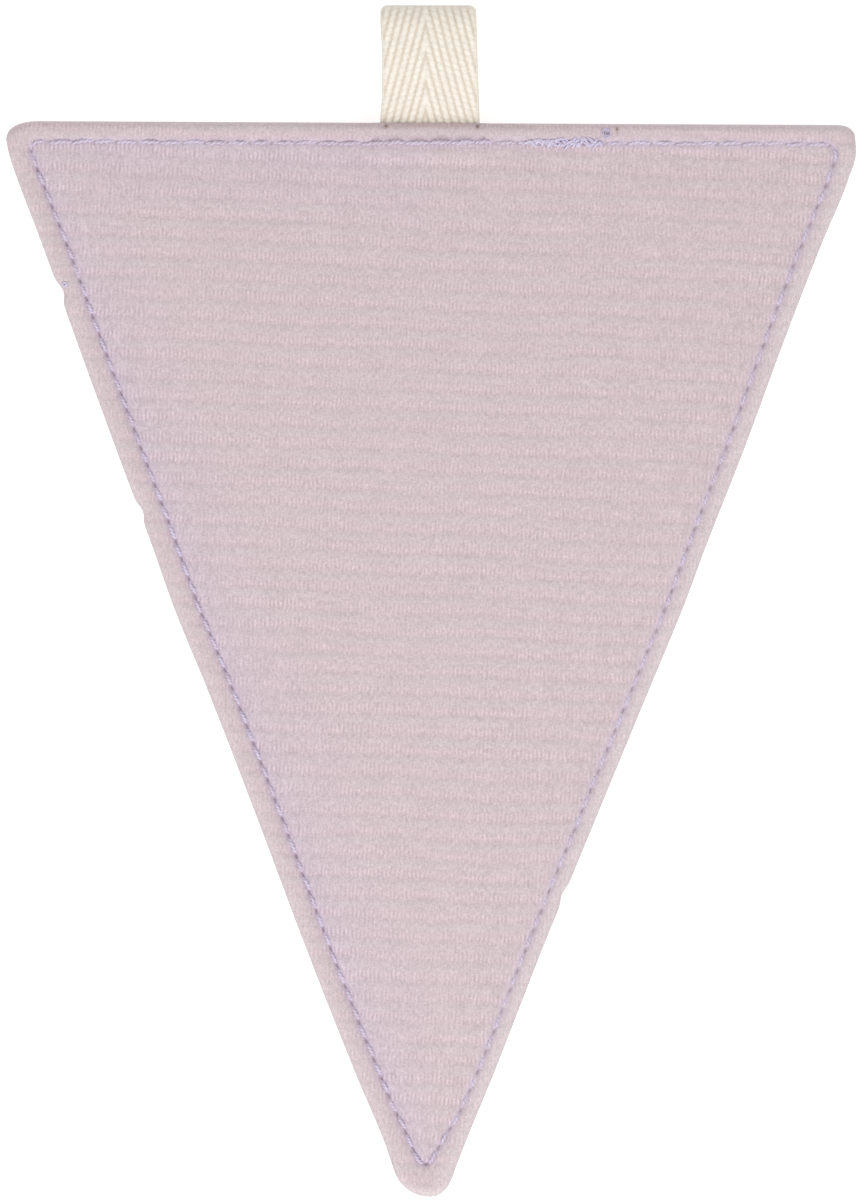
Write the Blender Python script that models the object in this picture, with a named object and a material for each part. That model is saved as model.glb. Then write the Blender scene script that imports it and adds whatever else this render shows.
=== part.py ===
"""A cloth bunting flag: two velour triangles sewn face to face and turned, with a tape loop in the top seam.

It lies on its back on the ground plane. +X runs across the flag, +Y from its tip to its loop, and +Z out of
its face. The origin is under the middle of the whole outline. Sizes below are in millimetres.
"""

import math

import bpy
import numpy as np
from mathutils import Vector
from mathutils.geometry import delaunay_2d_cdt

METRES = 0.001

# The flag's two long sides: the places of its left and right edge at each level, from the corners to the tip
SIDE_SECTIONS = (
    {"level": 77.0, "left": -70.9, "right": 70.8},
    {"level": 74.5, "left": -70.4, "right": 70.9},
    {"level": 70.2, "left": -68.95, "right": 69.6},
    {"level": 60.2, "left": -65.15, "right": 65.45},
    {"level": 45.2, "left": -59.8, "right": 59.6},
    {"level": 25.2, "left": -52.5, "right": 52.2},
    {"level": 7.7, "left": -46.0, "right": 45.35},
    {"level": 0.0, "left": -43.3, "right": 42.5},
    {"level": -14.8, "left": -37.3, "right": 36.4},
    {"level": -37.3, "left": -28.6, "right": 27.1},
    {"level": -57.3, "left": -21.1, "right": 18.9},
    {"level": -79.8, "left": -12.2, "right": 10.1},
    {"level": -91.5, "left": -7.35, "right": 5.3},
    {"level": -95.0, "left": -6.2, "right": 3.95},
)

# Small nicks where the turned seam pulls the edge in
EDGE_NICKS = (
    {"side": "left", "level": 51.6, "depth": 0.75, "reach": 1.5},
    {"side": "left", "level": 14.9, "depth": 0.6, "reach": 1.3},
    {"side": "right", "level": -49.0, "depth": 0.45, "reach": 1.2},
)

TOP_LEFT = (-65.2, 80.05)
TOP_RIGHT = (67.5, 79.4)
TOP_LEFT_APEX = (-71.0, 80.1)
TOP_RIGHT_APEX = (70.9, 79.5)
TIP = (-0.1, -99.4)
TIP_LEFT_APEX = (-4.6, -99.4)
TIP_RIGHT_APEX = (2.8, -99.4)
CORNER_FULLNESS = 0.63
CORNER_POINTS = 60
TOP_POINTS = 100
OUTLINE_STEP = 0.25

# Height of each panel's outer face over the seam, from the turned edge to the middle
EDGE_SECTIONS = (
    {"inset": 0.0, "front": 0.0, "back": 0.0, "rib": 0.0},
    {"inset": 0.35, "front": 1.35, "back": 1.1, "rib": 0.3},
    {"inset": 1.0, "front": 2.05, "back": 1.75, "rib": 0.8},
    {"inset": 2.0, "front": 2.25, "back": 2.05, "rib": 1.0},
    {"inset": 2.8, "front": 2.05, "back": 1.95, "rib": 0.9},
    {"inset": 3.45, "front": 1.2, "back": 1.35, "rib": 0.4},
    {"inset": 4.3, "front": 1.65, "back": 1.95, "rib": 0.9},
    {"inset": 6.5, "front": 1.8, "back": 2.05, "rib": 1.0},
)
CROWN_HEIGHT = 0.35
CROWN_REACH = 10.0

# Soft hollows and swells of the front where the cloth doesn't lie quite flat
SOFT_FORMS = (
    {"x": 4.0, "y": 9.0, "reach": 7.0, "height": -0.18},
    {"x": -34.0, "y": 52.0, "reach": 15.0, "height": 0.15},
    {"x": 36.0, "y": 44.0, "reach": 13.0, "height": -0.12},
    {"x": -4.0, "y": -52.0, "reach": 11.0, "height": 0.12},
)

SEAM_GAP = 0.3
BACK_SEAM_LEVEL = 2.05
FRONT_SEAM_LEVEL = BACK_SEAM_LEVEL + SEAM_GAP

# Velour ribs: they fall a little to the right, and each has one deep furrow
RIB_PITCH = 3.392
RIB_FALL = 0.042
RIB_START = 65.46
RIB_DEPTH = 0.26
RIB_SECTION = (
    {"phase": 0.0, "sink": 1.0},
    {"phase": 0.26, "sink": 0.0},
    {"phase": 0.78, "sink": 0.0},
)
SHORTEST_ROW = 5.0

# How far apart points may be: along a row, along an edge, and in degrees of turn
ROW_STATION = 18.0
EDGE_STATION = 6.0
EDGE_TURN = 15.0
LARGEST_SINGLE_TURN = 6.0
CLOSEST_POINTS = 0.25
INSET_TOLERANCE = 0.02
SAME_PLACE = 1e-3
MERGE_DISTANCE = 1e-5
POINTS_AT_ONCE = 400

# Edges that bend more than this many degrees stay sharp
PANEL_CREASE = 50
TAPE_CREASE = 40
CUTTER_CREASE = 30

# Tape loop: its run in side view, given for the middle of its thickness
TAPE_THICKNESS = 0.7
TAPE_LEG_SPACING = 1.0
TAPE_END_LEVEL = 74.6
TAPE_SEAM_LEVEL = 80.4
TAPE_ON_SURFACE_LEVEL = 88.4
TAPE_TOP_LEVEL = 99.4
TAPE_RISE_POWER = 1.15
LOOP_HEIGHT = 7.0
TAPE_WIDTHS = (
    {"level": 74.6, "left": -8.45, "right": 8.1},
    {"level": 80.4, "left": -8.45, "right": 8.1},
    {"level": 84.0, "left": -8.2, "right": 8.0},
    {"level": 91.0, "left": -8.15, "right": 7.75},
    {"level": 96.5, "left": -8.45, "right": 7.6},
    {"level": 99.4, "left": -8.45, "right": 7.55},
)
TAPE_ACROSS = (0.0, 0.035, 0.1, 0.25, 0.5, 0.75, 0.9, 0.965, 1.0)
TAPE_CORNER_DROP = 0.85
TAPE_CORNER_REACH = 0.07
FOLD_STEPS = 14
LEG_STEPS = 12

# Recess in both panels that takes the tape's ends
POCKET_CLEARANCE = 0.3
POCKET_FLOOR_LEVEL = 73.9
POCKET_OUTSIDE_LEVEL = 84.0
POCKET_PAST_SEAM = 0.5
COVER_HEIGHT = 1.9
COVER_FALL = 0.45
COVER_FROM_INSET = 0.99
COVER_RIB = 0.5


def clear_scene():
    for old in list(bpy.data.objects):
        bpy.data.objects.remove(old, do_unlink=True)


def make_material(name, colour, roughness):
    """A cloth material of one colour."""
    material = bpy.data.materials.new(name)
    material.use_nodes = True
    shader = material.node_tree.nodes["Principled BSDF"]
    shader.inputs["Base Color"].default_value = (*colour, 1.0)
    shader.inputs["Roughness"].default_value = roughness
    shader.inputs["Metallic"].default_value = 0.0
    return material


def add_object(name, points, faces, material, crease_degrees):
    """A smooth shaded object from points in millimetres."""
    mesh = bpy.data.meshes.new(name)
    mesh.from_pydata([Vector(p) * METRES for p in points], [], faces)
    mesh.materials.append(material)
    mesh.shade_smooth()
    mesh.set_sharp_from_angle(angle=math.radians(crease_degrees))
    mesh.update()
    thing = bpy.data.objects.new(name, mesh)
    bpy.context.collection.objects.link(thing)
    return thing


def rounded_corner(start, apex, end):
    """Points of a corner that leaves start and reaches end, pulled towards its apex."""
    start, apex, end = (np.array(p, dtype=float) for p in (start, apex, end))
    first = start + CORNER_FULLNESS * (apex - start)
    second = end + CORNER_FULLNESS * (apex - end)
    t = np.linspace(0.0, 1.0, CORNER_POINTS)[:, None]
    return (
        (1 - t) ** 3 * start
        + 3 * (1 - t) ** 2 * t * first
        + 3 * (1 - t) * t**2 * second
        + t**3 * end
    )


def smooth_through(levels, places, wanted):
    """A smooth curve through rising levels, read at the wanted ones."""
    slopes = np.gradient(places, levels)
    span = np.clip(np.searchsorted(levels, wanted) - 1, 0, len(levels) - 2)
    length = levels[span + 1] - levels[span]
    t = (wanted - levels[span]) / length
    return (
        (2 * t**3 - 3 * t**2 + 1) * places[span]
        + (t**3 - 2 * t**2 + t) * length * slopes[span]
        + (3 * t**2 - 2 * t**3) * places[span + 1]
        + (t**3 - t**2) * length * slopes[span + 1]
    )


def side_edge(side):
    """One long side from the tip up, with its nicks."""
    levels = np.array([row["level"] for row in reversed(SIDE_SECTIONS)])
    places = np.array([row[side] for row in reversed(SIDE_SECTIONS)])
    wanted = np.arange(levels[0], levels[-1], OUTLINE_STEP)
    edge = smooth_through(levels, places, wanted)
    inward = 1.0 if side == "left" else -1.0
    for nick in EDGE_NICKS:
        if nick["side"] == side:
            away = (wanted - nick["level"]) / nick["reach"]
            edge += inward * nick["depth"] * np.exp(-(away**2))
    return np.column_stack([edge, wanted])


def even_steps(loop, step):
    """The same closed loop with points a fixed step apart."""
    closed = np.vstack([loop, loop[:1]])
    travelled = np.concatenate([[0.0], np.cumsum(np.linalg.norm(np.diff(closed, axis=0), axis=1))])
    count = int(round(travelled[-1] / step))
    wanted = np.linspace(0.0, travelled[-1], count, endpoint=False)
    return np.column_stack([np.interp(wanted, travelled, closed[:, axis]) for axis in (0, 1)])


def flag_outline():
    """The flag's outline, counter-clockwise seen from its front."""
    left = side_edge("left")
    right = side_edge("right")
    runs = [
        rounded_corner(TIP, TIP_RIGHT_APEX, right[0]),
        right[1:-1],
        rounded_corner(right[-1], TOP_RIGHT_APEX, TOP_RIGHT),
        np.linspace(TOP_RIGHT, TOP_LEFT, TOP_POINTS)[1:-1],
        rounded_corner(TOP_LEFT, TOP_LEFT_APEX, left[-1]),
        left[::-1][1:-1],
        rounded_corner(left[0], TIP_LEFT_APEX, TIP)[:-1],
    ]
    return even_steps(np.vstack(runs), OUTLINE_STEP)


def inset_of(points, outline):
    """Distance of each point from the outline."""
    found = np.empty(len(points))
    for start in range(0, len(points), POINTS_AT_ONCE):
        end = start + POINTS_AT_ONCE
        away = points[start:end, None, :] - outline[None, :, :]
        found[start:end] = np.sqrt((away**2).sum(axis=2).min(axis=1))
    return found


def inset_loop(outline, inset):
    """The loop that lies a fixed distance inside the outline."""
    if inset == 0.0:
        return outline
    along = np.roll(outline, -1, axis=0) - np.roll(outline, 1, axis=0)
    along /= np.linalg.norm(along, axis=1)[:, None]
    moved = outline + inset * np.column_stack([-along[:, 1], along[:, 0]])
    kept = inset_of(moved, outline) > inset - INSET_TOLERANCE
    return moved[kept]


def rib_place(points):
    """Place of each point across the ribs."""
    return points[:, 1] + RIB_FALL * points[:, 0]


def rib_rows(outline):
    """Every rib row that is long enough, as its place across the ribs."""
    places = rib_place(outline)
    first = math.floor((places.min() - RIB_START) / RIB_PITCH)
    last = math.ceil((places.max() - RIB_START) / RIB_PITCH)
    rows = []
    for number in range(first, last + 1):
        for part in RIB_SECTION:
            place = RIB_START + RIB_PITCH * (number + part["phase"])
            hits = loop_crossings(outline, place)
            if len(hits) == 2:
                ends = [loop_point(outline, hit) for hit in hits]
                if np.linalg.norm(ends[0] - ends[1]) > SHORTEST_ROW:
                    rows.append(place)
    return rows


def loop_crossings(loop, place):
    """Where a closed loop crosses a rib row, as point numbers with their fractions."""
    here = rib_place(loop) - place
    after = np.roll(here, -1)
    hits = np.nonzero(here * after < 0)[0]
    return [hit + here[hit] / (here[hit] - after[hit]) for hit in hits]


def loop_point(loop, position):
    """The point at a fractional point number of a closed loop."""
    number = int(position) % len(loop)
    fraction = position - int(position)
    return (1 - fraction) * loop[number] + fraction * loop[(number + 1) % len(loop)]


def loop_stations(loop, rows):
    """Points of a closed loop as (position, row): each row's crossings, and stations where it bends or runs on."""
    crossings = []
    for row, place in enumerate(rows):
        hits = loop_crossings(loop, place)
        if len(hits) == 2:
            ends = [loop_point(loop, hit) for hit in hits]
            if np.linalg.norm(ends[0] - ends[1]) > 2 * CLOSEST_POINTS:
                crossings += [(hit, row) for hit in hits]
    crossings.sort()
    ahead = np.roll(loop, -1, axis=0) - loop
    heading = np.degrees(np.arctan2(ahead[:, 1], ahead[:, 0]))
    turn = np.abs((np.roll(heading, -1) - heading + 180.0) % 360.0 - 180.0)
    turn = np.minimum(turn, LARGEST_SINGLE_TURN)
    effort = np.linalg.norm(ahead, axis=1) / EDGE_STATION + turn / EDGE_TURN
    total = np.concatenate([[0.0], np.cumsum(np.tile(effort, 2))])
    numbers = np.arange(len(total))
    stations = []
    for number, (position, row) in enumerate(crossings):
        stations.append((position, row))
        following = crossings[(number + 1) % len(crossings)][0]
        if following <= position:
            following += len(loop)
        spent = np.interp([position, following], numbers, total)
        between = math.ceil(spent[1] - spent[0]) - 1
        wanted = np.linspace(spent[0], spent[1], between + 2)[1:-1]
        stations += [(at, None) for at in np.interp(wanted, total, numbers)]
    return stations


def panel_plan(outline):
    """Flat triangles of a panel. Their edges follow the rib rows and the rings of the edge section."""
    rows = rib_rows(outline)
    points = []
    edges = []
    on_row = [[] for _ in rows]
    border = []
    for section in EDGE_SECTIONS:
        loop = inset_loop(outline, section["inset"])
        ring = []
        for position, row in loop_stations(loop, rows):
            if row is not None:
                on_row[row].append(len(points))
            ring.append(len(points))
            points.append(loop_point(loop, position))
        edges += list(zip(ring, ring[1:] + ring[:1]))
        border = border or ring
    for place, members in zip(rows, on_row):
        members.sort(key=lambda number: points[number][0])
        for start, end in zip(members[:-1], members[1:]):
            x_start = points[start][0]
            x_end = points[end][0]
            pieces = math.ceil((x_end - x_start) / ROW_STATION)
            chain = [start]
            for x in np.linspace(x_start, x_end, pieces + 1)[1:-1]:
                chain.append(len(points))
                points.append(np.array([x, place - RIB_FALL * x]))
            chain.append(end)
            edges += list(zip(chain[:-1], chain[1:]))
    flat = [Vector((float(x), float(y))) for x, y in points]
    found = delaunay_2d_cdt(flat, edges, [border], 1, MERGE_DISTANCE)
    plan = np.array([tuple(p) for p in found[0]])
    return plan, [tuple(face) for face in found[2]]


def border_order(faces):
    """The outer edge of a set of counter-clockwise faces, in order."""
    directed = set()
    for face in faces:
        directed.update(zip(face, face[1:] + face[:1]))
    following = {a: b for a, b in directed if (b, a) not in directed}
    start = min(following)
    order = [start]
    while following[order[-1]] != start:
        order.append(following[order[-1]])
    return order


def seam_side_faces(plan, order):
    """Triangles of the flat side between a panel's edges, facing the other way."""
    rim = [Vector((float(plan[number][0]), float(plan[number][1]))) for number in order]
    found = delaunay_2d_cdt(rim, [], [list(range(len(rim)))], 1, MERGE_DISTANCE)
    origins = [numbers[0] for numbers in found[3]]
    return [tuple(order[origins[corner]] for corner in reversed(face)) for face in found[2]]


def rib_sink(points):
    """How deep each point lies in a furrow, from 0 on a rib's back to 1."""
    phase = ((rib_place(points) - RIB_START) / RIB_PITCH) % 1.0
    phases = [part["phase"] for part in RIB_SECTION] + [1.0]
    sinks = [part["sink"] for part in RIB_SECTION] + [RIB_SECTION[0]["sink"]]
    return np.interp(phase, phases, sinks)


def pocket_sides():
    left = min(row["left"] for row in TAPE_WIDTHS) - POCKET_CLEARANCE
    right = max(row["right"] for row in TAPE_WIDTHS) + POCKET_CLEARANCE
    return left, right


def panel_heights(points, outline, side):
    """Height of a panel's outer face over its seam at each point."""
    inset = inset_of(points, outline)
    insets = [row["inset"] for row in EDGE_SECTIONS]
    height = np.interp(inset, insets, [row[side] for row in EDGE_SECTIONS])
    relief = np.interp(inset, insets, [row["rib"] for row in EDGE_SECTIONS])
    if side == "front":
        middle = np.maximum(inset - insets[-1], 0.0)
        height += CROWN_HEIGHT * (1 - np.exp(-middle / CROWN_REACH))
        for form in SOFT_FORMS:
            away = np.hypot(points[:, 0] - form["x"], points[:, 1] - form["y"]) / form["reach"]
            height += form["height"] * np.exp(-(away**2))
    left, right = pocket_sides()
    beside = np.maximum(np.maximum(left - points[:, 0], points[:, 0] - right), 0.0)
    below = np.maximum(POCKET_FLOOR_LEVEL - points[:, 1], 0.0)
    cover = COVER_HEIGHT - COVER_FALL * np.hypot(beside, below)
    covered = (inset > COVER_FROM_INSET) & (cover > height)
    height = np.where(covered, cover, height)
    over_tape = (beside == 0.0) & (below == 0.0)
    relief = np.where(over_tape, np.minimum(relief, COVER_RIB), relief)
    height -= RIB_DEPTH * relief * rib_sink(points)
    height[inset < SAME_PLACE] = 0.0
    return height


def make_panel(name, side, seam_level, material):
    """One cut triangle of velour with its allowance turned in, flat on its seam side."""
    outline = flag_outline()
    plan, faces = panel_plan(outline)
    outward = 1.0 if side == "front" else -1.0
    heights = panel_heights(plan, outline, side)
    order = border_order(faces)
    heights[order] = 0.0
    points = [(x, y, seam_level + outward * h) for (x, y), h in zip(plan, heights)]
    all_faces = faces + seam_side_faces(plan, order)
    if side == "back":
        all_faces = [tuple(reversed(face)) for face in all_faces]
    return add_object(name, points, all_faces, material, PANEL_CREASE)


def cut_tape_pocket(panel, low, high):
    """Takes the recess for the tape's ends out of a panel's seam side."""
    left, right = pocket_sides()
    corners = [
        (x, y, z)
        for z in (low, high)
        for y in (POCKET_FLOOR_LEVEL, POCKET_OUTSIDE_LEVEL)
        for x in (left, right)
    ]
    faces = [(0, 2, 3, 1), (4, 5, 7, 6), (0, 1, 5, 4), (2, 6, 7, 3), (0, 4, 6, 2), (1, 3, 7, 5)]
    cutter = add_object(panel.name + "_cutter", corners, faces, panel.data.materials[0], CUTTER_CREASE)
    cutter.hide_render = True
    cutter.display_type = "WIRE"
    cut = panel.modifiers.new("tape pocket", "BOOLEAN")
    cut.operation = "DIFFERENCE"
    cut.solver = "EXACT"
    cut.object = cutter


def tape_run():
    """The tape's middle line in side view, as (level, height), from its lower end round the fold to its upper end."""
    seam_middle = (BACK_SEAM_LEVEL + FRONT_SEAM_LEVEL) / 2
    lower = seam_middle - TAPE_LEG_SPACING / 2
    upper = seam_middle + TAPE_LEG_SPACING / 2
    radius = (LOOP_HEIGHT - TAPE_THICKNESS) / 2
    centre_level = TAPE_TOP_LEVEL - LOOP_HEIGHT / 2
    centre_height = LOOP_HEIGHT / 2
    ground = TAPE_THICKNESS / 2
    top = LOOP_HEIGHT - TAPE_THICKNESS / 2
    run = [(TAPE_END_LEVEL, lower), ((TAPE_END_LEVEL + TAPE_SEAM_LEVEL) / 2, lower)]
    for step in range(LEG_STEPS + 1):
        t = step / LEG_STEPS
        ease = t * t * (3 - 2 * t)
        level = TAPE_SEAM_LEVEL + (TAPE_ON_SURFACE_LEVEL - TAPE_SEAM_LEVEL) * t
        run.append((level, lower + (ground - lower) * ease))
    run.append(((TAPE_ON_SURFACE_LEVEL + centre_level) / 2, ground))
    for step in range(FOLD_STEPS + 1):
        angle = math.pi * (step / FOLD_STEPS - 0.5)
        run.append((centre_level + radius * math.cos(angle), centre_height + radius * math.sin(angle)))
    for step in range(1, LEG_STEPS + 1):
        t = 1 - step / LEG_STEPS
        ease = math.sin(t * math.pi / 2) ** TAPE_RISE_POWER
        run.append((TAPE_SEAM_LEVEL + (centre_level - TAPE_SEAM_LEVEL) * t, upper + (top - upper) * ease))
    run += [((TAPE_END_LEVEL + TAPE_SEAM_LEVEL) / 2, upper), (TAPE_END_LEVEL, upper)]
    return run


def tape_faces_of_run(run):
    """Inner and outer line of the band, half its thickness to each side of its run."""
    line = np.array(run)
    along = np.gradient(line, axis=0)
    along[0] = (1.0, 0.0)
    along[-1] = (-1.0, 0.0)
    along /= np.linalg.norm(along, axis=1)[:, None]
    aside = np.column_stack([-along[:, 1], along[:, 0]]) * TAPE_THICKNESS / 2
    return line + aside, line - aside


def make_tape_loop(material):
    """One band of herringbone tape, folded, with both ends between the panels."""
    inner, outer = tape_faces_of_run(tape_run())
    levels = [row["level"] for row in TAPE_WIDTHS]
    lefts = [row["left"] for row in TAPE_WIDTHS]
    rights = [row["right"] for row in TAPE_WIDTHS]
    fold_start = TAPE_TOP_LEVEL - LOOP_HEIGHT
    points = []
    for line in (outer, inner):
        for level, height in line:
            left = np.interp(level, levels, lefts)
            right = np.interp(level, levels, rights)
            in_fold = max(level - fold_start, 0.0) / LOOP_HEIGHT
            for share in TAPE_ACROSS:
                from_edge = min(share, 1 - share) / TAPE_CORNER_REACH
                drop = TAPE_CORNER_DROP * in_fold**2 * max(1 - from_edge, 0.0) ** 2
                points.append((left + (right - left) * share, level - drop, height))
    columns = len(TAPE_ACROSS)
    stations = len(outer)
    inner_start = stations * columns
    faces = []
    for station in range(stations - 1):
        for column in range(columns - 1):
            a = station * columns + column
            b = a + columns
            faces.append((a, b, b + 1, a + 1))
            faces.append((inner_start + a, inner_start + a + 1, inner_start + b + 1, inner_start + b))
        for a in (station * columns, station * columns + columns - 1):
            side = (a, a + inner_start, a + columns + inner_start, a + columns)
            faces.append(side if a % columns == 0 else tuple(reversed(side)))
    for station in (0, stations - 1):
        for column in range(columns - 1):
            a = station * columns + column
            end = (a, a + 1, a + 1 + inner_start, a + inner_start)
            faces.append(end if station == 0 else tuple(reversed(end)))
    return add_object("tape_loop", points, faces, material, TAPE_CREASE)


def main():
    clear_scene()
    velour = make_material("rib_velour_front", (0.65, 0.53, 0.57), 0.9)
    velour_back = make_material("rib_velour_back", (0.64, 0.52, 0.56), 0.9)
    tape = make_material("cotton_herringbone_tape", (0.84, 0.77, 0.67), 0.85)
    front = make_panel("front_panel", "front", FRONT_SEAM_LEVEL, velour)
    back = make_panel("back_panel", "back", BACK_SEAM_LEVEL, velour_back)
    seam_middle = (BACK_SEAM_LEVEL + FRONT_SEAM_LEVEL) / 2
    reach = (TAPE_LEG_SPACING + TAPE_THICKNESS) / 2 + POCKET_CLEARANCE
    cut_tape_pocket(front, BACK_SEAM_LEVEL - POCKET_PAST_SEAM, seam_middle + reach)
    cut_tape_pocket(back, seam_middle - reach, FRONT_SEAM_LEVEL + POCKET_PAST_SEAM)
    make_tape_loop(tape)


main()
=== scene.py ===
"""Looks of a cloth bunting flag: ribbed velour panels, topstitching and a herringbone tape loop.

The flag lies on its back on a pale floor and is seen straight from above. Sizes in this file are in millimetres
unless a name or a unit says otherwise, and meshes are turned to metres when they are made.
"""

import math

import bpy
import numpy as np
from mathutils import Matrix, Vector
from mathutils.geometry import delaunay_2d_cdt
from mathutils.kdtree import KDTree


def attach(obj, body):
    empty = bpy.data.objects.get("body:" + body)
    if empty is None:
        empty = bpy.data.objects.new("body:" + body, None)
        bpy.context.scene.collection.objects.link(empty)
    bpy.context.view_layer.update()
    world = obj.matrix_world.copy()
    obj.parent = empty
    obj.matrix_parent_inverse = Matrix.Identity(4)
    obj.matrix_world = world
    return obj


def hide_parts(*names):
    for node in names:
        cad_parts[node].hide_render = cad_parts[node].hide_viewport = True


bl_info = {
    "name": "Bunting flag",
    "version": (1, 0, 0),
    "blender": (4, 5, 0),
    "location": "3D View > Sidebar > Bunting",
    "description": "Dresses the packed bunting flag in ribbed velour, topstitching and herringbone tape",
    "category": "Object",
}

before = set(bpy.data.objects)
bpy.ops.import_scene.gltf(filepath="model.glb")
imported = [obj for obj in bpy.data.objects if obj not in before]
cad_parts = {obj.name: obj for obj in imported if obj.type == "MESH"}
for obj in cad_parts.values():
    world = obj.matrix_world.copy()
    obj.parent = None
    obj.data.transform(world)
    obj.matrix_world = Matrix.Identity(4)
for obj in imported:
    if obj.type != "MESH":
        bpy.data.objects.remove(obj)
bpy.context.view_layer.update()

METRES = 0.001
SEED = 20
MERGE_DISTANCE = 1e-5

# The two long sides of the flag: the place of the left and right edge at each level, from corners to tip
SIDE_SECTIONS = (
    {"level": 77.0, "left": -70.9, "right": 70.8},
    {"level": 74.5, "left": -70.4, "right": 70.9},
    {"level": 70.2, "left": -68.95, "right": 69.6},
    {"level": 60.2, "left": -65.15, "right": 65.45},
    {"level": 45.2, "left": -59.8, "right": 59.6},
    {"level": 25.2, "left": -52.5, "right": 52.2},
    {"level": 7.7, "left": -46.0, "right": 45.35},
    {"level": 0.0, "left": -43.3, "right": 42.5},
    {"level": -14.8, "left": -37.3, "right": 36.4},
    {"level": -37.3, "left": -28.6, "right": 27.1},
    {"level": -57.3, "left": -21.1, "right": 18.9},
    {"level": -79.8, "left": -12.2, "right": 10.1},
    {"level": -91.5, "left": -7.35, "right": 5.3},
    {"level": -95.0, "left": -6.2, "right": 3.95},
)
EDGE_NICKS = (
    {"side": "left", "level": 51.6, "depth": 0.75, "reach": 1.5},
    {"side": "left", "level": 14.9, "depth": 0.6, "reach": 1.3},
    {"side": "right", "level": -49.0, "depth": 0.45, "reach": 1.2},
)
TOP_LEFT = (-65.2, 80.05)
TOP_RIGHT = (67.5, 79.4)
TOP_LEFT_APEX = (-71.0, 80.1)
TOP_RIGHT_APEX = (70.9, 79.5)
TIP = (-0.1, -99.4)
TIP_LEFT_APEX = (-4.6, -99.4)
TIP_RIGHT_APEX = (2.8, -99.4)
CORNER_FULLNESS = 0.63
CORNER_POINTS = 90
TOP_POINTS = 100
OUTLINE_STEP = 0.3

# Height of each cloth's outer face over the seam, from the turned edge to the middle, before the stitched groove
# is pressed in
EDGE_SECTIONS = (
    {"inset": 0.0, "front": 0.0, "back": 0.0, "rib": 0.0},
    {"inset": 0.07, "front": 0.62, "back": 0.5, "rib": 0.0},
    {"inset": 0.17, "front": 1.05, "back": 0.85, "rib": 0.0},
    {"inset": 0.3, "front": 1.42, "back": 1.18, "rib": 0.1},
    {"inset": 0.5, "front": 1.83, "back": 1.56, "rib": 0.3},
    {"inset": 0.7, "front": 2.1, "back": 1.8, "rib": 0.45},
    {"inset": 0.95, "front": 2.27, "back": 1.96, "rib": 0.6},
    {"inset": 1.25, "front": 2.34, "back": 2.04, "rib": 0.7},
    {"inset": 1.7, "front": 2.34, "back": 2.08, "rib": 0.8},
    {"inset": 2.4, "front": 2.26, "back": 2.08, "rib": 0.8},
    {"inset": 3.5, "front": 2.08, "back": 2.05, "rib": 0.8},
    {"inset": 4.5, "front": 1.95, "back": 2.05, "rib": 1.0},
    {"inset": 6.5, "front": 1.93, "back": 2.05, "rib": 1.0},
)
GROOVE_OUTSIDE = 0.62
GROOVE_POWER = 1.7
GROOVE_INSIDE = 0.5
CROWN_HEIGHT = 0.35
CROWN_REACH = 10.0
RIBS_PRESSED = 0.8

# Soft hollows and swells of the front where the cloth doesn't lie quite flat
SOFT_FORMS = (
    {"x": 4.0, "y": 9.0, "reach": 7.0, "height": -0.18},
    {"x": -34.0, "y": 52.0, "reach": 15.0, "height": 0.15},
    {"x": 36.0, "y": 44.0, "reach": 13.0, "height": -0.12},
    {"x": -4.0, "y": -52.0, "reach": 11.0, "height": 0.12},
)

# The two cloths touch along their seam, just under half way up
SEAM_LEVEL = 2.2
SEAM_GAP = 0.04
BACK_SEAM_LEVEL = SEAM_LEVEL - SEAM_GAP / 2
FRONT_SEAM_LEVEL = SEAM_LEVEL + SEAM_GAP / 2
BACK_DEEPEST = 2.14

# Ribs of the velour: one deep and one faint furrow in each, and tufts side by side along them
RIB_PITCH = 3.392
RIB_FALL = 0.042
RIB_START = 65.46
RIB_SECTION = (
    {"phase": 0.0, "sink": 1.0, "comb": 0.2},
    {"phase": 0.08, "sink": 0.7, "comb": 0.6},
    {"phase": 0.17, "sink": 0.25, "comb": 1.0},
    {"phase": 0.32, "sink": 0.0, "comb": 1.0},
    {"phase": 0.42, "sink": 0.2, "comb": 0.8},
    {"phase": 0.5, "sink": 0.45, "comb": 0.3},
    {"phase": 0.6, "sink": 0.15, "comb": 0.12},
    {"phase": 0.75, "sink": 0.1, "comb": 0.12},
    {"phase": 0.9, "sink": 0.6, "comb": 0.12},
    {"phase": 1.0, "sink": 1.0, "comb": 0.2},
)
ROWS_PER_RIB = 7
TUFT_PITCH = 0.689
RIB_WANDER = ({"reach": 16.0, "much": 0.4}, {"reach": 5.0, "much": 0.16}, {"reach": 1.1, "much": 0.13})
TUFT_WANDER = ({"reach": 6.0, "much": 0.16}, {"reach": 1.5, "much": 0.12})
COMB_STRENGTH = {"mean": 0.65, "swing": 0.35, "patch": 9.0, "by_stitch": 0.45, "on_border": 0.4}
COMB_BY_STITCH_REACH = 6.0
RIB_STRENGTH = {"mean": 0.75, "swing": 0.35, "patch": 7.0}
TUFTS_WITHOUT_COMB = 0.2
TUFTS_BY_EDGE = 0.15
PILE_UNEVEN = 0.22
# Lilac tint by the stitch line, partly the thread's colour and partly painted shade in the groove, and just
# inside the left side as painted light from the left
LILAC = {"by_thread_and_groove_shade": 0.45, "reach": 0.75, "painted_left_light": 0.25}
# Reach of the painted shade on the outermost rim of the rolled edge
RIM_SHADE_REACH = 0.6
LATTICE_START_INSET = 1.25
LATTICE_FROM_STITCH = 0.75
EDGE_RINGS = (0.0, 0.07, 0.17, 0.3, 0.5, 0.72, 0.97)
GROOVE_RINGS = (-0.6, -0.3, 0.0, 0.3, 0.6)
RING_STATION = 0.38
SEAM_STATION = 3.0

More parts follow.
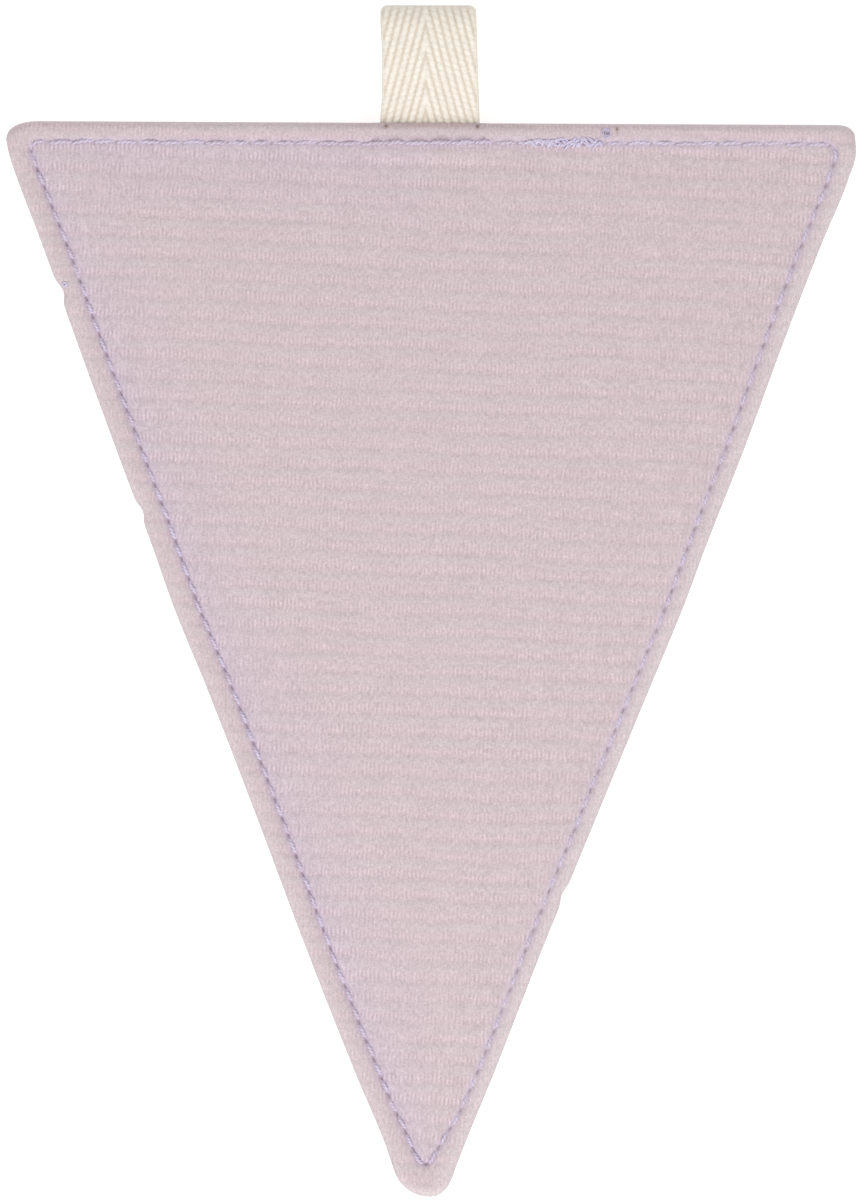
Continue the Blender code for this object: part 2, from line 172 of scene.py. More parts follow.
# Where the tape's ends lie between the panels
POCKET_LEFT = -8.75
POCKET_RIGHT = 8.4
POCKET_FLOOR_LEVEL = 73.9
POCKET_LIFT = 0.88
POCKET_BLEND = 1.6
COVER_HEIGHT = 2.3
COVER_FALL = 0.45
COVER_RISE = ((0.0, 0.0), (0.35, 0.55), (0.7, 0.85), (1.5, 1.0))

# Small pits where the seam pulls in at the tape's two edges; on the front they are also darkened as painted
# shade
SEAM_PITS = (
    {"x": -7.5, "y": 79.15, "depth": 0.5, "wide": 0.27, "high": 0.27},
    {"x": 7.75, "y": 79.1, "depth": 0.6, "wide": 0.32, "high": 0.3},
    {"x": 31.0, "y": 78.4, "depth": 0.3, "wide": 0.13, "high": 0.75},
)

# The topstitch: its distance from the edge by level on each side. Then the top and the two long sides: stitch
# pitch, share of it that shows as thread, slit and groove, the thread's wiggle, and the painted sheen that makes
# the rolled edge pale, with how wide it reaches
STITCH_INSETS = (
    {"level": 80.0, "left": 3.45, "right": 3.25},
    {"level": 76.0, "left": 3.6, "right": 3.3},
    {"level": 70.0, "left": 3.75, "right": 3.2},
    {"level": 55.0, "left": 3.95, "right": 3.1},
    {"level": 20.0, "left": 4.0, "right": 2.9},
    {"level": -20.0, "left": 3.95, "right": 2.7},
    {"level": -60.0, "left": 3.85, "right": 2.6},
    {"level": -86.0, "left": 3.7, "right": 2.65},
    {"level": -97.0, "left": 4.6, "right": 4.6},
)
STITCH_ROUNDING = 7
STITCH_INSET_BLEND = 24.0
TOP_RUN_LEVEL = 74.6
TOP_RUN_BLEND = 1.6
SIDE_RUN_BLEND = 4.0
HOLE_UNEVEN = 0.035
EDGE_RUNS = {
    "top": {
        "pitch": 3.72, "float": 0.86, "slit": 0.5, "groove": 0.3, "wiggle": 0.09, "painted_sheen": 0.2, "wide": 1.2
    },
    "left": {
        "pitch": 3.3, "float": 0.56, "slit": 1.0, "groove": 0.42, "wiggle": 0.04, "painted_sheen": 0.35, "wide": 1.5
    },
    "right": {
        "pitch": 3.6, "float": 0.56, "slit": 0.8, "groove": 0.38, "wiggle": 0.04, "painted_sheen": 0.6, "wide": 2.3
    },
}
SLIT_DEPTH = 0.38
SLIT_LENGTH = 0.6
SLIT_WIDTH = 0.22
SLIT_LEAN = 0.16

# One stitch's thread: how high it lies over the seam less its groove, how far it strays, and its plies' twist
FLOAT = {
    "stations": 22,
    "sides": 10,
    "bends": 7,
    "past_hole": 0.1,
    "skew": 0.24,
    "aside": 0.05,
    "ends": 1.4,
    "rise": 0.85,
    "uneven": 0.05,
    "over_pocket": 0.9,
    "twist": 0.62,
}
THREAD_CLEAR_OF_FLOOR = 0.3
SUNK_FLOATS = (0.25, 0.6)

# The back-tack at the top edge, where the sewing starts and ends, its frayed thread end, and a stray loop
BACK_TACK = {
    "from": 16.6,
    "to": 28.3,
    "level": 76.4,
    "spread": 0.66,
    "floats": 52,
    "leans": (12.0, 58.0),
    "lengths": (1.1, 1.9),
    "height": 1.55,
    "rise": 0.5,
    "layers": 0.25,
    "width": 0.4,
}
FRAYED_END = {"x": 29.3, "y": 77.9, "reach": 0.9, "strands": 22, "turn": 2.4, "height": 2.25, "width": 0.13}
TACK_STATIONS = 9
TACK_SIDES = 8
TACK_TWIST = 0.6
STRAY_LOOP_HEIGHT = 2.2
STRAY_LOOP_WIDTH = 0.3
STRAY_LOOP = ((-61.5, 52.7), (-61.1, 53.05), (-60.75, 52.8), (-60.95, 52.45), (-61.35, 52.55))

# Tape loop: its run in side view, given for the middle of its thickness
TAPE_THICKNESS = 0.7
TAPE_LEG_SPACING = 1.0
TAPE_END_LEVEL = 74.6
TAPE_SEAM_LEVEL = 80.4
TAPE_SETTLED_LEVEL = 88.4
TAPE_TOP_LEVEL = 99.4
LOOP_HEIGHT = 7.0
TAPE_WIDTHS = (
    {"level": 74.6, "left": -8.45, "right": 8.1},
    {"level": 80.4, "left": -8.45, "right": 8.1},
    {"level": 84.0, "left": -8.2, "right": 8.0},
    {"level": 91.0, "left": -8.15, "right": 7.75},
    {"level": 96.5, "left": -8.45, "right": 7.6},
    {"level": 99.4, "left": -8.45, "right": 7.55},
)
TAPE_CORNER_DROP = 0.85
TAPE_CORNER_REACH = 0.07
TAPE_RISE_POWER = 1.15
TAPE_FALL_POINTS = 40
TAPE_FOLD_POINTS = 60
TAPE_STATION = 0.21
TAPE_COLUMNS = 104

# Its weave: ridges that lean to a spine, each a row of yarns, with a flatter selvedge and a smoother fold
TAPE_SPINE = -0.9
RIDGE_LEAN = 14.5
RIDGE_POWER = 0.95
YARN_LENGTH = 1.15
YARN_DEPTH = 0.2
YARN_LEAN = 0.35
YARN_POWER = 0.6
YARN_SHARE = 0.5
SELVEDGE_SHARE = 0.02
FOLD_SMOOTHED = 1.6
FOLD_RELIEF = 0.7
# Painted shade: how much the tape is darkened where its fold turns away and along its selvedges
FOLD_PAINTED_SHADE = 0.8
SELVEDGE_PAINTED_SHADE = 0.45

PHOTO_WIDTH = 859
PHOTO_HEIGHT = 1200
PHOTO_PIXEL = 1.0 / 6.0
ORIGIN_COLUMN = 431.0
ORIGIN_ROW = 601.0
CAMERA_LENS = 360.0
SENSOR = 36.0
FACE_LEVEL = 4.0

# Even light from all round and a broad lamp below the tip; the lamp's sizes are in metres and watts
FLOOR_HALF_WIDTH = 3000.0
FLOOR_CLEARANCE = 0.05
SKY_STRENGTH = 0.737
KEY_SIZE = 0.9
KEY_WATTS = 6.45
KEY_PLACE = (-0.05, -0.85, 0.9)


class BuntingSizes(bpy.types.PropertyGroup):
    """Sizes of the cloth's surface that a maker would change."""

    rib_depth: bpy.props.FloatProperty(
        name="Rib depth",
        description="Depth of the deep furrow between two ribs",
        default=0.13 * METRES,
        min=0.0,
        unit="LENGTH",
    )
    tuft_depth: bpy.props.FloatProperty(
        name="Tuft depth",
        description="Depth of the dips between the tufts of one rib",
        default=0.1 * METRES,
        min=0.0,
        unit="LENGTH",
    )
    thread_width: bpy.props.FloatProperty(
        name="Thread width",
        description="Width of the topstitching thread where it lies on the cloth",
        default=0.62 * METRES,
        min=0.0001,
        unit="LENGTH",
    )
    weave_ridge: bpy.props.FloatProperty(
        name="Herringbone ridge",
        description="Distance from one ridge of the tape's herringbone to the next",
        default=1.27 * METRES,
        min=0.0001,
        unit="LENGTH",
    )


class BuntingColours(bpy.types.PropertyGroup):
    """Colours of the cloth, tape and thread."""

    velour: bpy.props.StringProperty(
        name="Velour", description="Dusty lilac of the velour, as a hex colour", default="#D5C3C8"
    )
    thread: bpy.props.StringProperty(
        name="Thread", description="Lilac of the topstitching thread, as a hex colour", default="#E6DDF2"
    )
    tape: bpy.props.StringProperty(
        name="Tape", description="Natural cotton of the tape, as a hex colour", default="#FBF4E9"
    )


def hex_to_linear(text):
    """An sRGB hex colour as linear red, green, blue and alpha."""
    parts = [int(text[start : start + 2], 16) / 255 for start in (1, 3, 5)]
    return tuple(c / 12.92 if c <= 0.04045 else ((c + 0.055) / 1.055) ** 2.4 for c in parts) + (1.0,)


def node(tree, kind, links=None, **settings):
    """Adds a node, sets its values and inputs, and links its inputs to other nodes' outputs."""
    made = tree.nodes.new(kind)
    for name, value in settings.items():
        if name.startswith("input_"):
            key = name[6:]
            made.inputs[int(key) if key.isdigit() else key.replace("_", " ")].default_value = value
        else:
            setattr(made, name, value)
    for key, source in (links or {}).items():
        tree.links.new(source, made.inputs[key])
    return made


def start_material(name):
    """A new material with its shader and object coordinates."""
    material = bpy.data.materials.new(name)
    material.use_nodes = True
    tree = material.node_tree
    shader = tree.nodes["Principled BSDF"]
    place = node(tree, "ShaderNodeTexCoord").outputs["Object"]
    return material, tree, shader, place


def rounded_corner(start, apex, end):
    """Points of a corner that leaves start and reaches end, pulled towards its apex."""
    start, apex, end = (np.array(p, dtype=float) for p in (start, apex, end))
    first = start + CORNER_FULLNESS * (apex - start)
    second = end + CORNER_FULLNESS * (apex - end)
    t = np.linspace(0.0, 1.0, CORNER_POINTS)[:, None]
    return (
        (1 - t) ** 3 * start
        + 3 * (1 - t) ** 2 * t * first
        + 3 * (1 - t) * t**2 * second
        + t**3 * end
    )


def smooth_through(levels, places, wanted):
    """A smooth curve through rising levels, read at the wanted ones."""
    slopes = np.gradient(places, levels)
    span = np.clip(np.searchsorted(levels, wanted) - 1, 0, len(levels) - 2)
    length = levels[span + 1] - levels[span]
    t = (wanted - levels[span]) / length
    return (
        (2 * t**3 - 3 * t**2 + 1) * places[span]
        + (t**3 - 2 * t**2 + t) * length * slopes[span]
        + (3 * t**2 - 2 * t**3) * places[span + 1]
        + (t**3 - t**2) * length * slopes[span + 1]
    )


def side_edge(side, nicks):
    """One long side from the tip up, with its nicks."""
    levels = np.array([row["level"] for row in reversed(SIDE_SECTIONS)])
    places = np.array([row[side] for row in reversed(SIDE_SECTIONS)])
    wanted = np.arange(levels[0], levels[-1], OUTLINE_STEP)
    edge = smooth_through(levels, places, wanted)
    inward = 1.0 if side == "left" else -1.0
    for nick in nicks:
        if nick["side"] == side:
            away = (wanted - nick["level"]) / nick["reach"]
            edge += inward * nick["depth"] * np.exp(-(away**2))
    return np.column_stack([edge, wanted])


def travelled(loop):
    """Distance along a closed loop to each of its points and back to its first."""
    closed = np.vstack([loop, loop[:1]])
    return np.concatenate([[0.0], np.cumsum(np.linalg.norm(np.diff(closed, axis=0), axis=1))])


def loop_read(loop, wanted):
    """Points of a closed loop at the wanted distances along it."""
    far = travelled(loop)
    closed = np.vstack([loop, loop[:1]])
    at = np.mod(wanted, far[-1])
    return np.column_stack([np.interp(at, far, closed[:, axis]) for axis in range(loop.shape[1])])


def even_steps(loop, step):
    """The same closed loop with points an even step apart."""
    length = travelled(loop)[-1]
    count = int(round(length / step))
    return loop_read(loop, np.linspace(0.0, length, count, endpoint=False))


def flag_outline(nicks=EDGE_NICKS):
    """The flag's outline, counter-clockwise seen from its front."""
    left = side_edge("left", nicks)
    right = side_edge("right", nicks)
    runs = [
        rounded_corner(TIP, TIP_RIGHT_APEX, right[0]),
        right[1:-1],
        rounded_corner(right[-1], TOP_RIGHT_APEX, TOP_RIGHT),
        np.linspace(TOP_RIGHT, TOP_LEFT, TOP_POINTS)[1:-1],
        rounded_corner(TOP_LEFT, TOP_LEFT_APEX, left[-1]),
        left[::-1][1:-1],
        rounded_corner(left[0], TIP_LEFT_APEX, TIP)[:-1],
    ]
    return even_steps(np.vstack(runs), OUTLINE_STEP)


def nearest_on(points, loop):
    """The number of the loop's nearest point to each of some points."""
    tree = KDTree(len(loop))
    for number, (x, y) in enumerate(loop):
        tree.insert((x, y, 0.0), number)
    tree.balance()
    return np.array([tree.find((x, y, 0.0))[1] for x, y in points])


def inset_of(points, loop):
    """Distance of each point from the nearest place on a closed loop."""
    nearest = nearest_on(points, loop)
    found = np.full(len(points), np.inf)
    for step in (-1, 0):
        start = loop[(nearest + step) % len(loop)]
        along = loop[(nearest + step + 1) % len(loop)] - start
        share = np.clip(((points - start) * along).sum(axis=1) / (along**2).sum(axis=1), 0.0, 1.0)
        found = np.minimum(found, np.linalg.norm(points - start - share[:, None] * along, axis=1))
    return found


def inset_loop(outline, insets):
    """The loop that lies inside the outline by a fixed inset, or by one for each of its points."""
    along = np.roll(outline, -1, axis=0) - np.roll(outline, 1, axis=0)
    along /= np.linalg.norm(along, axis=1)[:, None]
    insets = np.broadcast_to(insets, len(outline))
    moved = outline + insets[:, None] * np.column_stack([-along[:, 1], along[:, 0]])
    kept = inset_of(moved, outline) > np.abs(insets) * 0.985 - 0.005
    return moved[kept]


def rib_place(points):
    """Place of each point across the ribs."""
    return points[:, 1] + RIB_FALL * points[:, 0]


def column_place(points):
    """Place of each point along the ribs."""
    return points[:, 0] - RIB_FALL * points[:, 1]


def inside(points, loop, block=4000):
    """Which points lie inside a closed loop."""
    after = np.roll(loop, -1, axis=0)
    found = np.zeros(len(points), dtype=bool)
    rise = after[:, 1] - loop[:, 1]
    rise = np.where(rise == 0.0, 1e-12, rise)
    for start in range(0, len(points), block):
        part = points[start : start + block]
        level = part[:, 1][:, None]
        spans = (loop[:, 1] > level) != (after[:, 1] > level)
        cross = loop[:, 0] + (level - loop[:, 1]) / rise * (after[:, 0] - loop[:, 0])
        found[start : start + block] = ((spans & (part[:, 0][:, None] < cross)).sum(axis=1) % 2) == 1
    return found


def lattice(outline, column_pitch, row_pitch):
    """Points on the tufts' own lattice, inside the rolled edge and clear of the stitched groove."""
    limit = inset_loop(outline, LATTICE_START_INSET)
    columns = column_place(limit)
    rows = rib_place(limit)
    leftmost = math.floor(columns.min() / column_pitch)
    rightmost = math.ceil(columns.max() / column_pitch)
    first = math.floor((rows.min() - RIB_START) / row_pitch)
    last = math.ceil((rows.max() - RIB_START) / row_pitch)
    across, up = np.meshgrid(
        np.arange(leftmost, rightmost) * column_pitch, RIB_START + np.arange(first, last) * row_pitch
    )
    across = across.ravel()
    up = up.ravel()
    turn = 1 + RIB_FALL**2
    points = np.column_stack([(across + RIB_FALL * up) / turn, (up - RIB_FALL * across) / turn])
    points = points[inside(points, limit)]
    return points[inset_of(points, stitch_line()) > LATTICE_FROM_STITCH]


def cloth_plan(outline, column_pitch, row_pitch):
    """Flat triangles of one cloth: rings along its rolled edge and its stitched groove, and the lattice."""
    loops = [inset_loop(outline, inset) for inset in EDGE_RINGS]
    loops += [inset_loop(stitch_line(), away) for away in GROOVE_RINGS]
    points = []
    edges = []
    for loop in loops:
        ring = even_steps(loop, RING_STATION)
        numbers = list(range(len(points), len(points) + len(ring)))
        points.extend(ring.tolist())
        edges += list(zip(numbers, numbers[1:] + numbers[:1]))
    border = list(range(int(round(travelled(outline)[-1] / RING_STATION))))
    points.extend(lattice(outline, column_pitch, row_pitch).tolist())
    flat = [Vector(p) for p in points]
    found = delaunay_2d_cdt(flat, edges, [border], 1, MERGE_DISTANCE)
    return np.array([tuple(p) for p in found[0]]), [tuple(face) for face in found[2]]


def border_order(faces):
    """The outer edge of a set of counter-clockwise faces, in order."""
    directed = set()
    for face in faces:
        directed.update(zip(face, face[1:] + face[:1]))
    following = {a: b for a, b in directed if (b, a) not in directed}
    order = [min(following)]
    while following[order[-1]] != order[0]:
        order.append(following[order[-1]])
    return order


def rib_read(phase, wanted):
    """One column of the rib's section at each phase."""
    return np.interp(phase, [row["phase"] for row in RIB_SECTION], [row[wanted] for row in RIB_SECTION])


def soft_noise(points, reach, rng):
    """Soft random values from -1 to 1 that change over about the given reach."""
    low = points.min(axis=0) - reach
    place = (points - low) / reach
    cell = np.floor(place).astype(int)
    grid = rng.uniform(-1.0, 1.0, tuple(cell.max(axis=0) + 2))
    share = smooth_step(place - cell)
    column, row = cell.T
    lower = grid[column, row] * (1 - share[:, 0]) + grid[column + 1, row] * share[:, 0]
    upper = grid[column, row + 1] * (1 - share[:, 0]) + grid[column + 1, row + 1] * share[:, 0]
    return lower * (1 - share[:, 1]) + upper * share[:, 1]


def wander(points, rows, rng):
    """How far a pattern strays at each point, from soft noise of a few reaches."""
    return sum(row["much"] * soft_noise(points, row["reach"], rng) for row in rows)


def smooth_step(value):
    """0 below 0 and 1 above 1, with a smooth rise between."""
    value = np.clip(value, 0.0, 1.0)
    return value * value * (3 - 2 * value)


def pocket_share(points):
    """1 over the tape's ends, falling to 0 a little beside and below them."""
    beside = np.maximum(np.maximum(POCKET_LEFT - points[:, 0], points[:, 0] - POCKET_RIGHT), 0.0)
    below = np.maximum(POCKET_FLOOR_LEVEL - points[:, 1], 0.0)
    return smooth_step(1 - np.hypot(beside, below) / POCKET_BLEND)


def stitch_insets(points):
    """Distance of the topstitch from the edge at each point of the outline."""
    levels = [row["level"] for row in reversed(STITCH_INSETS)]
    left = np.interp(points[:, 1], levels, [row["left"] for row in reversed(STITCH_INSETS)])
    right = np.interp(points[:, 1], levels, [row["right"] for row in reversed(STITCH_INSETS)])
    share = smooth_step((points[:, 0] + STITCH_INSET_BLEND / 2) / STITCH_INSET_BLEND)
    return left * (1 - share) + right * share


def stitch_line():
    """The topstitch's line as a closed loop, counter-clockwise seen from the front: straight past the nicks."""
    outline = flag_outline(())
    line = even_steps(inset_loop(outline, stitch_insets(outline)), OUTLINE_STEP)
    turned = [np.roll(line, step, axis=0) for step in range(-STITCH_ROUNDING, STITCH_ROUNDING + 1)]
    return even_steps(np.mean(turned, axis=0), OUTLINE_STEP)


def run_shares(points):
    """How far each point belongs to the top, left and right run of the topstitch."""
    top = smooth_step((points[:, 1] - TOP_RUN_LEVEL) / TOP_RUN_BLEND)
    right = (1 - top) * smooth_step((points[:, 0] + SIDE_RUN_BLEND / 2) / SIDE_RUN_BLEND)
    return {"top": top, "left": 1 - top - right, "right": right}


def run_values(points, wanted):
    """One value of the stitch runs at each point."""
    shares = run_shares(points)
    return sum(shares[name] * EDGE_RUNS[name][wanted] for name in EDGE_RUNS)


def needle_holes(line, rng):
    """Distances along the stitch line at which the needle went in."""
    steps = np.diff(travelled(line)) / run_values(line, "pitch")
    stitches = np.concatenate([[0.0], np.cumsum(steps)])
    count = int(round(stitches[-1]))
    wanted = (np.arange(count) + rng.normal(0.0, HOLE_UNEVEN, count)) * stitches[-1] / count
    return np.interp(np.clip(wanted, 0.0, stitches[-1]), stitches, travelled(line))


def slit_share(points, from_stitch, line, holes):
    """1 in the slits where the pile closes over the thread at a needle hole, falling to 0 around them."""
    share = np.zeros(len(points))
    near = np.nonzero(np.abs(from_stitch) < GROOVE_RINGS[-1] * 2)[0]
    far = travelled(line)
    following = np.roll(line, -1, axis=0) - line
    heading = following / np.linalg.norm(following, axis=1)[:, None]
    nearest = nearest_on(points[near], line)
    offset = points[near] - line[nearest]
    aside = heading[nearest][:, 0] * offset[:, 1] - heading[nearest][:, 1] * offset[:, 0]
    along = far[nearest] + (heading[nearest] * offset).sum(axis=1)
    gap = along[:, None] - holes[None, :]
    gap = (gap + far[-1] / 2) % far[-1] - far[-1] / 2
    gap = gap[np.arange(len(near)), np.abs(gap).argmin(axis=1)]
    leaning = aside + SLIT_LEAN * gap
    share[near] = np.exp(-((gap / SLIT_LENGTH) ** 2) - (leaning / SLIT_WIDTH) ** 2)
    return share


def cloth_surface(points, outline, side, sizes, rng):
    """Height over the seam at each point of a cloth's outer face, with the values that its material reads."""
    rib_depth = sizes.rib_depth / METRES
    tuft_depth = sizes.tuft_depth / METRES
    inset = inset_of(points, outline)
    line = stitch_line()
    from_stitch = inset_of(points, line) * np.where(inside(points, line), 1.0, -1.0)
    insets = [row["inset"] for row in EDGE_SECTIONS]
    height = np.interp(inset, insets, [row[side] for row in EDGE_SECTIONS])
    relief = np.interp(inset, insets, [row["rib"] for row in EDGE_SECTIONS])
    away = from_stitch / np.where(from_stitch < 0, GROOVE_OUTSIDE, GROOVE_INSIDE)
    groove = np.exp(-np.abs(away) ** GROOVE_POWER)
    height -= run_values(points, "groove") * groove
    relief *= 1 - RIBS_PRESSED * groove
    if side == "front":
        middle = np.maximum(inset - insets[-1], 0.0)
        height += CROWN_HEIGHT * (1 - np.exp(-middle / CROWN_REACH))
        for form in SOFT_FORMS:
            away = np.hypot(points[:, 0] - form["x"], points[:, 1] - form["y"]) / form["reach"]
            height += form["height"] * np.exp(-(away**2))
    beside = np.maximum(np.maximum(POCKET_LEFT - points[:, 0], points[:, 0] - POCKET_RIGHT), 0.0)
    below = np.maximum(POCKET_FLOOR_LEVEL - points[:, 1], 0.0)
    rise = np.interp(inset, [row[0] for row in COVER_RISE], [row[1] for row in COVER_RISE])
    lift = POCKET_LIFT * pocket_share(points)
    cover = (COVER_HEIGHT - COVER_FALL * np.hypot(beside, below) - lift) * rise
    height = np.maximum(height, cover + lift)
    painted_pit_shade = np.zeros(len(points))
    if side == "front":
        for pit in SEAM_PITS:
            away = np.hypot((points[:, 0] - pit["x"]) / pit["wide"], (points[:, 1] - pit["y"]) / pit["high"])
            height -= pit["depth"] * np.exp(-(away**2))
            painted_pit_shade = np.maximum(painted_pit_shade, np.exp(-(away**2)))
    slit = slit_share(points, from_stitch, line, needle_holes(line, np.random.default_rng(SEED)))
    slit *= run_values(points, "slit")
    height -= SLIT_DEPTH * slit
    rib = (rib_place(points) + wander(points, RIB_WANDER, rng) - RIB_START) / RIB_PITCH
    tuft = (column_place(points) + wander(points, TUFT_WANDER, rng)) / TUFT_PITCH
    by_stitch = np.exp(-np.maximum(from_stitch, 0.0) / COMB_BY_STITCH_REACH)
    strength = COMB_STRENGTH["mean"] + COMB_STRENGTH["swing"] * soft_noise(points, COMB_STRENGTH["patch"], rng)
    comb = rib_read(rib % 1.0, "comb") * (strength + COMB_STRENGTH["by_stitch"] * by_stitch)
    comb *= np.where(from_stitch < 0, COMB_STRENGTH["on_border"], 1.0)
    strength = RIB_STRENGTH["mean"] + RIB_STRENGTH["swing"] * soft_noise(points, RIB_STRENGTH["patch"], rng)
    height -= rib_depth * relief * rib_read(rib % 1.0, "sink") * strength
    tufts = np.clip(relief + TUFTS_BY_EDGE, 0, 1) * (TUFTS_WITHOUT_COMB + (1 - TUFTS_WITHOUT_COMB) * comb)
    height -= tuft_depth * tufts * (0.5 + 0.5 * np.cos(2 * np.pi * tuft))
    height += rng.normal(0.0, tuft_depth * PILE_UNEVEN, len(points)) * smooth_step(inset)
    if side == "back":
        height = np.minimum(height, BACK_DEEPEST)
    # Lilac in the stitched groove, partly thread colour and partly painted shade; lilac inside the left run,
    # fading inwards, is painted light
    lilac = LILAC["by_thread_and_groove_shade"] * np.exp(-((from_stitch / LILAC["reach"]) ** 2))
    lilac += LILAC["painted_left_light"] * run_shares(points)["left"] * (from_stitch > 0) * by_stitch
    values = {
        "rib": rib,
        "tuft": tuft,
        "comb": comb,
        "slit": slit,
        "painted_pit_shade": painted_pit_shade,
        "lilac": lilac,
        # Painted shade on the outermost rim of the rolled edge
        "rim": np.exp(-((inset / RIM_SHADE_REACH) ** 2)),
        # Painted sheen: paler towards the rolled edge, stronger and wider on the right side
        "painted_sheen": run_values(points, "painted_sheen") * np.exp(-((inset / run_values(points, "wide")) ** 2)),
    }
    return height, lift, values


def mesh_object(name, points, faces, material, smooth=True):
    """A mesh piece from points in millimetres."""
    mesh = bpy.data.meshes.new(name)
    mesh.from_pydata((np.asarray(points) * METRES).tolist(), [], faces)
    mesh.materials.append(material)
    if smooth:
        mesh.shade_smooth()
    mesh.update()
    thing = bpy.data.objects.new(name, mesh)
    bpy.context.collection.objects.link(thing)
    return thing


def add_point_values(thing, name, values):
    """Keeps one number for each point of a mesh under a name that its material can read."""
    kept = thing.data.attributes.new(name, "FLOAT", "POINT")
    kept.data.foreach_set("value", np.asarray(values, dtype=np.float32))


def seam_side(outline, rim):
    """Flat triangles of the seam side: its points, those of the rim first, and its faces."""
    across, up = np.meshgrid(
        np.arange(rim[:, 0].min(), rim[:, 0].max(), SEAM_STATION),
        np.arange(rim[:, 1].min(), rim[:, 1].max(), SEAM_STATION),
    )
    grid = np.column_stack([across.ravel(), up.ravel()])
    grid = grid[inside(grid, inset_loop(outline, SEAM_STATION / 2))]
    points = np.vstack([rim, grid])
    found = delaunay_2d_cdt([Vector(p) for p in points], [], [list(range(len(rim)))], 1, MERGE_DISTANCE)
    origins = [numbers[0] for numbers in found[3]]
    return points, [tuple(origins[corner] for corner in face) for face in found[2]]


def make_cloth(name, side, seam_level, material, sizes, column_pitch, row_pitch):
    """One cut triangle of velour, closed on its seam side."""
    outline = flag_outline()
    rng = np.random.default_rng(SEED + len(name))
    plan, faces = cloth_plan(outline, column_pitch, row_pitch)
    outward = 1.0 if side == "front" else -1.0
    heights, lift, values = cloth_surface(plan, outline, side, sizes, rng)
    order = border_order(faces)
    heights[order] = lift[order]
    seam_plan, seam_faces = seam_side(outline, plan[order])
    numbers = order + list(range(len(plan), len(plan) + len(seam_plan) - len(order)))
    added = seam_plan[len(order) :]
    seam_heights = POCKET_LIFT * pocket_share(added)
    points = np.vstack(
        [
            np.column_stack([plan, seam_level + outward * heights]),
            np.column_stack([added, seam_level + outward * seam_heights]),
        ]
    )
    all_faces = faces + [tuple(numbers[corner] for corner in reversed(face)) for face in seam_faces]
    if side == "back":
        all_faces = [tuple(reversed(face)) for face in all_faces]
    cloth = mesh_object(name, points, all_faces, material)
    for value_name, value in values.items():
        add_point_values(cloth, value_name, np.concatenate([value, np.zeros(len(added))]))
    return cloth


def math_node(tree, operation, first, second=None, third=None):
    """One sum on one or more values, each a number or another node's output."""
    made = node(tree, "ShaderNodeMath", operation=operation)
    for key, value in enumerate((first, second, third)):
        if value is None:
            continue
        if isinstance(value, (int, float)):
            made.inputs[key].default_value = value
        else:
            tree.links.new(value, made.inputs[key])
    return made.outputs[0]


def mix_colours(tree, share, first, second):
    """A mix of two colours, each a hex colour or another node's output."""
    made = node(tree, "ShaderNodeMix", data_type="RGBA")
    tree.links.new(share, made.inputs["Factor"])
    for key, value in (("A", first), ("B", second)):
        if isinstance(value, str):
            made.inputs[key].default_value = hex_to_linear(value)
        else:
            tree.links.new(value, made.inputs[key])
    return made.outputs["Result"]


def ramp(tree, share, stops):
    """Colours along a value, from a table of places and hex colours."""
    made = node(tree, "ShaderNodeValToRGB", {0: share})
    while len(made.color_ramp.elements) < len(stops):
        made.color_ramp.elements.new(0.5)
    for element, (position, colour) in zip(made.color_ramp.elements, stops):
        element.position = position
        element.color = hex_to_linear(colour)
    return made.outputs["Color"]


def noise(tree, place, size, low, high, detail=2.0, stretch=(1.0, 1.0, 1.0)):
    """Noise from low to high with features of a real size in millimetres, stretched along X, Y or Z."""
    scaled = node(tree, "ShaderNodeVectorMath", {0: place}, operation="DIVIDE")
    scaled.inputs[1].default_value = [size * METRES * share for share in stretch]
    made = node(tree, "ShaderNodeTexNoise", {"Vector": scaled.outputs[0]}, input_Scale=1.0, input_Detail=detail)
    spread = node(tree, "ShaderNodeMapRange", {0: made.outputs["Fac"]})
    spread.inputs["From Min"].default_value = 0.25
    spread.inputs["From Max"].default_value = 0.75
    spread.inputs["To Min"].default_value = low
    spread.inputs["To Max"].default_value = high
    return spread.outputs[0]


